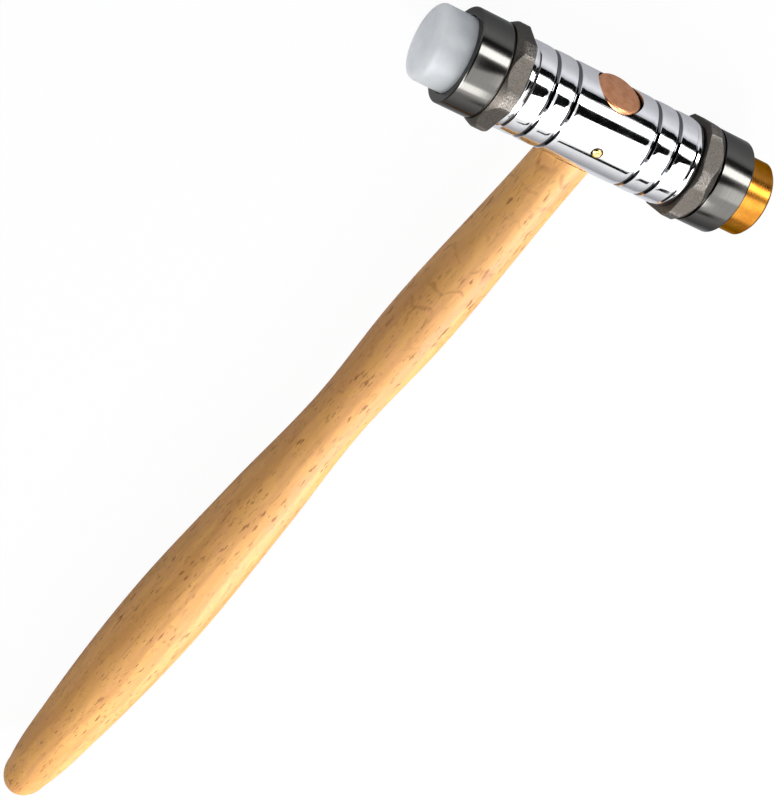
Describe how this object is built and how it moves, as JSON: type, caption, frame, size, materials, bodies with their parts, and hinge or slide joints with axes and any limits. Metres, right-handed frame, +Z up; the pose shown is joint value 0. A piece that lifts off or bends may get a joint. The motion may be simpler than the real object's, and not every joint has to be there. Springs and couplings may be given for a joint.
{
  "type": "soft-faced hammer",
  "caption": "Small soft-faced hammer: a nylon face and a brass face in holders that unscrew from a turned chrome head, on a shaped wooden handle held by a cross pin.",
  "frame": {"origin": "on the surface that the hammer lies on, under the middle of its bounding box", "axes": "+X towards the brass face, +Y from the handle's heel towards the top of the head, +Z up, out of the side that shows the cross pin"},
  "size_m": [0.0722, 0.2574, 0.0203],
  "materials": {
    "chrome": "polished chrome plate on steel",
    "dark_nickel": "satin black nickel on steel",
    "nylon": "white nylon, turned and smooth",
    "brass": "turned brass",
    "copper": null,
    "beech": "turned beech with a thin lacquer"
  },
  "bodies": {
    "head": {"head_barrel": "chrome", "handle": "beech", "handle_pin": "brass", "eye_plug": "copper"},
    "nylon_insert": {"nylon_face": "nylon"},
    "nylon_screw": {"nylon_holder": "dark_nickel"},
    "brass_insert": {"brass_face": "brass"},
    "brass_screw": {"brass_holder": "dark_nickel"}
  },
  "joints": [
    {"name": "nylon_travel", "type": "slide", "parent": "head", "child": "nylon_insert", "axis": [-1, 0, 0], "range_m": [0, 0.0075]},
    {"name": "nylon_unscrew", "type": "hinge", "parent": "nylon_insert", "child": "nylon_screw", "pos_m": [0, 0.11855, 0.01017], "axis": [-1, 0, 0], "range_deg": [0, 1800]},
    {"name": "brass_travel", "type": "slide", "parent": "head", "child": "brass_insert", "axis": [1, 0, 0], "range_m": [0, 0.0075]},
    {"name": "brass_unscrew", "type": "hinge", "parent": "brass_insert", "child": "brass_screw", "pos_m": [0, 0.11855, 0.01017], "axis": [1, 0, 0], "range_deg": [0, 1800]}
  ],
  "couplings": [
    {"joint": "nylon_unscrew", "follows": "nylon_travel", "rad_per_m": 4188.8},
    {"joint": "brass_unscrew", "follows": "brass_travel", "rad_per_m": 4188.8}
  ]
}
